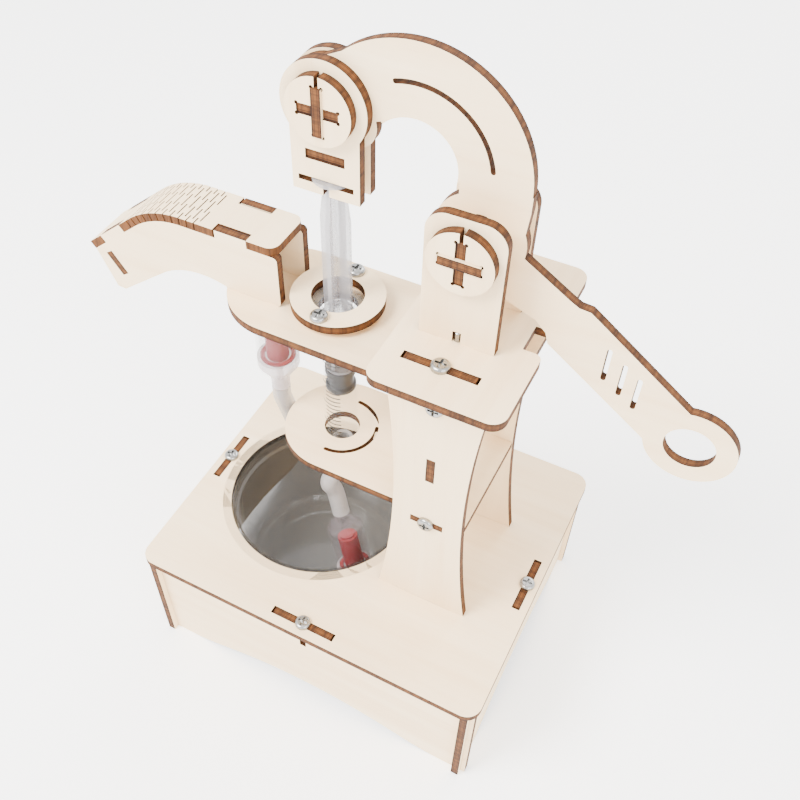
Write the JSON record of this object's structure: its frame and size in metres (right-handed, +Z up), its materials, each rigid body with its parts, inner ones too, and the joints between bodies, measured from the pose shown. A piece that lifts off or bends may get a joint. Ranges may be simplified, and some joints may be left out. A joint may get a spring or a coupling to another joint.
{
  "type": "hand water pump kit",
  "caption": "Plywood hand pump model: hooked lever works a syringe over a sunken water cup, with check valves, tubes and a bent spout.",
  "frame": {"origin": "middle of the whole model's bounding box, at its bottom", "axes": "+X from the spout towards the handle, +Z up, Y = 0 the middle plane of lever and syringe, front at -Y"},
  "size_m": [0.1858, 0.1, 0.2179],
  "materials": {
    "plywood": "matt birch plywood with laser-browned edges",
    "clear_plastic": "clear and glossy",
    "cup_plastic": "clear moulded cup",
    "milky_plastic": "milky translucent",
    "white_plastic": "white translucent",
    "red_plastic": "red",
    "silicone": "translucent silicone",
    "black_rubber": "matt black",
    "red_rubber": "soft red",
    "steel": "nickel-plated"
  },
  "bodies": {
    "frame": {"base_back": "plywood", "base_front": "plywood", "base_left": "plywood", "base_right": "plywood", "base_screws": "steel", "base_top": "plywood", "cheek_screws": "steel", "deck": "plywood", "deck_screws": "steel", "inlet_tube": "silicone", "inlet_valve_body": "clear_plastic", "inlet_valve_cap": "white_plastic", "inlet_valve_gasket": "red_rubber", "inlet_valve_seat": "red_plastic", "leg_back": "plywood", "leg_front": "plywood", "leg_screws": "steel", "mid_shelf": "plywood", "outlet_tube": "silicone", "outlet_valve_body": "clear_plastic", "outlet_valve_cap": "white_plastic", "outlet_valve_gasket": "red_rubber", "outlet_valve_seat": "red_plastic", "pivot_cap_back": "plywood", "pivot_cap_front": "plywood", "pivot_cheek_back": "plywood", "pivot_cheek_front": "plywood", "pivot_strip_flat": "plywood", "pivot_strip_upright": "plywood", "ring_screws": "steel", "spout_cheek_back": "plywood", "spout_cheek_front": "plywood", "spout_mouth": "plywood", "spout_sheet": "plywood", "spout_tube": "silicone", "syringe_barrel": "clear_plastic", "syringe_ring": "plywood", "tongue": "plywood", "tower_panel": "plywood", "water_cup": "cup_plastic", "y_connector": "milky_plastic"},
    "lever": {"lever": "plywood"},
    "plunger": {"clevis_cheek_front": "plywood", "clevis_cheek_back": "plywood", "clevis_spacer": "plywood", "clevis_strip_flat": "plywood", "clevis_strip_upright": "plywood", "clevis_cap_front": "plywood", "clevis_cap_back": "plywood", "plunger_rod": "milky_plastic", "piston_seal": "black_rubber"},
    "inlet_flap": {"inlet_valve_flap": "red_rubber"},
    "outlet_flap": {"outlet_valve_flap": "red_rubber"}
  },
  "joints": [
    {"name": "lever_pivot", "type": "hinge", "parent": "frame", "child": "lever", "pos_m": [0.02351, 0, 0.176], "axis": [0, -1, 0], "range_deg": [-3, 27]},
    {"name": "plunger_slide", "type": "slide", "parent": "frame", "child": "plunger", "axis": [0, 0, 1], "range_m": [-0.02085, 0.00235]},
    {"name": "inlet_flap_lift", "type": "slide", "parent": "frame", "child": "inlet_flap", "axis": [-0.2862, 0.1431, 0.9474], "range_m": [0, 0.0012]},
    {"name": "outlet_flap_lift", "type": "slide", "parent": "frame", "child": "outlet_flap", "axis": [0, 0, 1], "range_m": [0, 0.0012]}
  ],
  "couplings": [
    {"joint": "plunger_slide", "follows": "lever_pivot", "m_per_rad": -0.04411}
  ]
}
